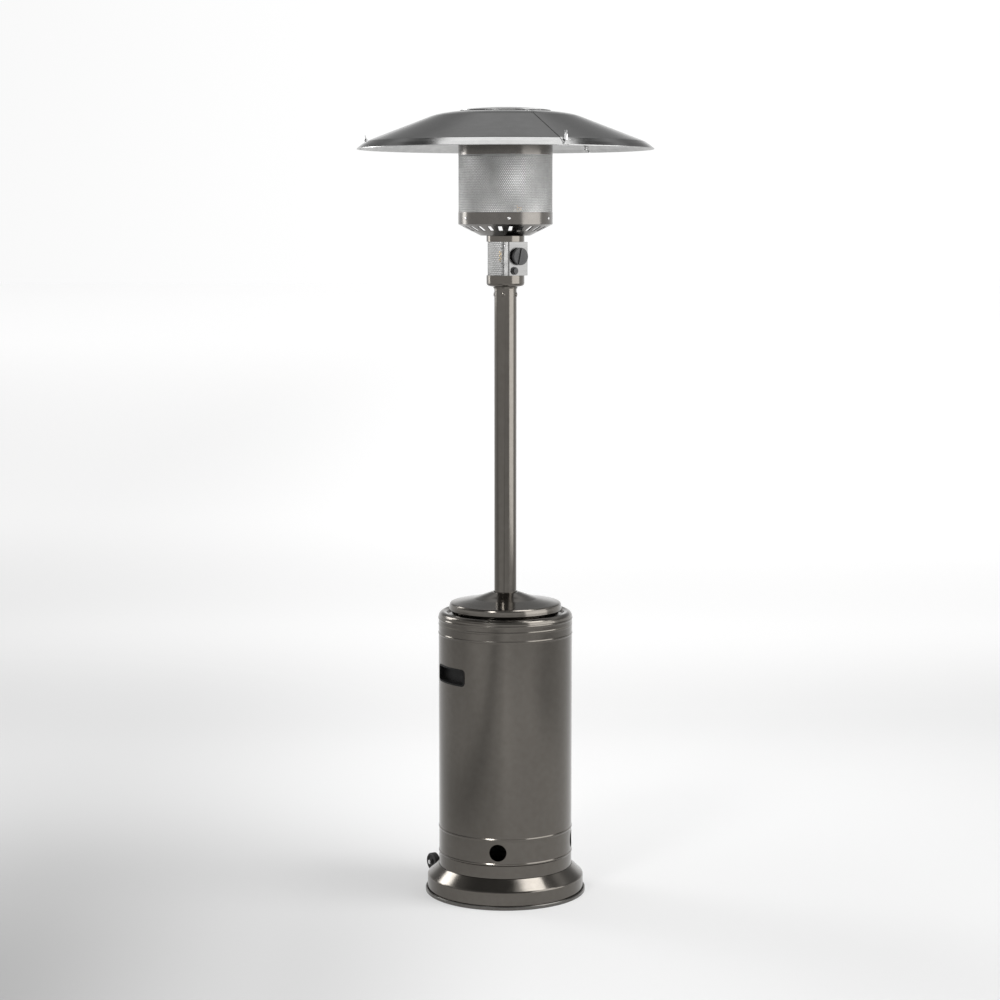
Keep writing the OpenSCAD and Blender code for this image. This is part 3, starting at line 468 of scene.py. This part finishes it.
# Each light: where it stands and what it faces, both right, away and up as in seen_from_camera(); width; height;
# and how bright its reflection looks.
SOFTBOXES = {
    "softbox_right": ((2.7, -1.5, 2.3), (0, -1.5, 2.3), 3.2, 3.4, 2.75),
    "softbox_over_right": ((1.8, -0.4, 4.5), (0.3, -0.3, 0), 1.3, 2.2, 7.0),
    "softbox_left_back": ((-2.9, 1.95, 2.75), (0, 0, 1.2), 1.2, 1.3, 7.0),
    "softbox_left_low": ((-2.95, 1.5, 2.05), (0, 0, 2.05), 0.9, 0.9, 4.5),
    "softbox_front": ((-2.0, -3.6, 3.5), (0, 0, 1.95), 0.9, 0.9, 24.0),
    "softbox_top": ((0, 0.6, 4.8), (0, 0.3, 0), 2.4, 1.4, 5.0),
}


def make_floor():
    """A plain pale floor with painted shade that makes it a little greyer at its near left corner, a painted
    shadow to the left of the heater's base, and a painted glow that brightens it into the white far away.
    """
    mat, tree, bsdf = new_material("studio_floor")
    coords, place, split = split_axes(tree, 0)
    tree.links.new(coords.outputs["Object"], place.inputs["Vector"])
    across, along = split.outputs["X"], split.outputs["Y"]
    # Painted shade and a painted shadow across the floor, blended from the near strips to the far ones.
    shade_strips = [level(tree, rescale(tree, across, left, right), shades) for left, right, shades in FLOOR_SHADE_STRIPS]
    side = shade_strips[0]
    for (near, far), strip in zip(STRIP_JOINS, shade_strips[1:]):
        share = level(tree, rescale(tree, along, near, far), [(0.0, 0.0), (1.0, 1.0)])
        side = blend_colours(tree, share, side, strip)
    base = level(tree, rescale(tree, along, *BASE_REACH), FLOOR_BASE)
    tree.links.new(multiply(tree, base, side), bsdf.inputs["Base Color"])
    bsdf.inputs["Roughness"].default_value = 0.7
    bsdf.inputs["Specular IOR Level"].default_value = 0.2
    # Painted glow: the floor gives off light of its own, brighter far away.
    glow = level(tree, rescale(tree, along, *GLOW_REACH), FLOOR_GLOW)
    tree.links.new(multiply(tree, glow, side), bsdf.inputs["Emission Color"])
    bsdf.inputs["Emission Strength"].default_value = 1.0
    mesh = bpy.data.meshes.new("studio_floor")
    mesh.from_pydata([(-FLOOR_HALF, -FLOOR_HALF, 0), (FLOOR_HALF, -FLOOR_HALF, 0), (FLOOR_HALF, FLOOR_HALF, 0),
                      (-FLOOR_HALF, FLOOR_HALF, 0)], [], [(0, 1, 2, 3)])
    mesh.materials.append(mat)
    floor = bpy.data.objects.new("studio_floor", mesh)
    floor.rotation_euler = (0, 0, VIEW_TURN)
    bpy.context.collection.objects.link(floor)


def softbox(name, place, target, width, height, radiance):
    """A rectangular area light; radiance is how bright its reflection looks."""
    middle = seen_from_camera(*place)
    data = bpy.data.lights.new(name, "AREA")
    data.shape = "RECTANGLE"
    data.size = width
    data.size_y = height
    data.energy = radiance * math.pi * width * height
    light = bpy.data.objects.new(name, data)
    light.location = middle
    light.rotation_mode = "QUATERNION"
    light.rotation_quaternion = (middle - seen_from_camera(*target)).to_track_quat("Z", "Y")
    bpy.context.collection.objects.link(light)


def make_world():
    """White low down all round and dark overhead, with a paler band halfway up."""
    world = bpy.data.worlds.new("studio_world")
    world.use_nodes = True
    tree = world.node_tree
    background = tree.nodes["Background"]
    coords, place, split = split_axes(tree, -VIEW_TURN)
    tree.links.new(coords.outputs["Generated"], place.inputs["Vector"])
    height = level(tree, split.outputs["Z"], WORLD_HEIGHT)
    side = level(tree, rescale(tree, split.outputs["X"], -HORIZON_SIDE, 0.0), HORIZON_SHADE)
    tree.links.new(multiply(tree, height, side), background.inputs["Color"])
    background.inputs["Strength"].default_value = WORLD_STRENGTH
    bpy.context.scene.world = world


def make_studio():
    make_floor()
    for name, settings in SOFTBOXES.items():
        softbox(name, *settings)
    make_world()
    bpy.context.scene.view_settings.view_transform = "Standard"


make_studio()
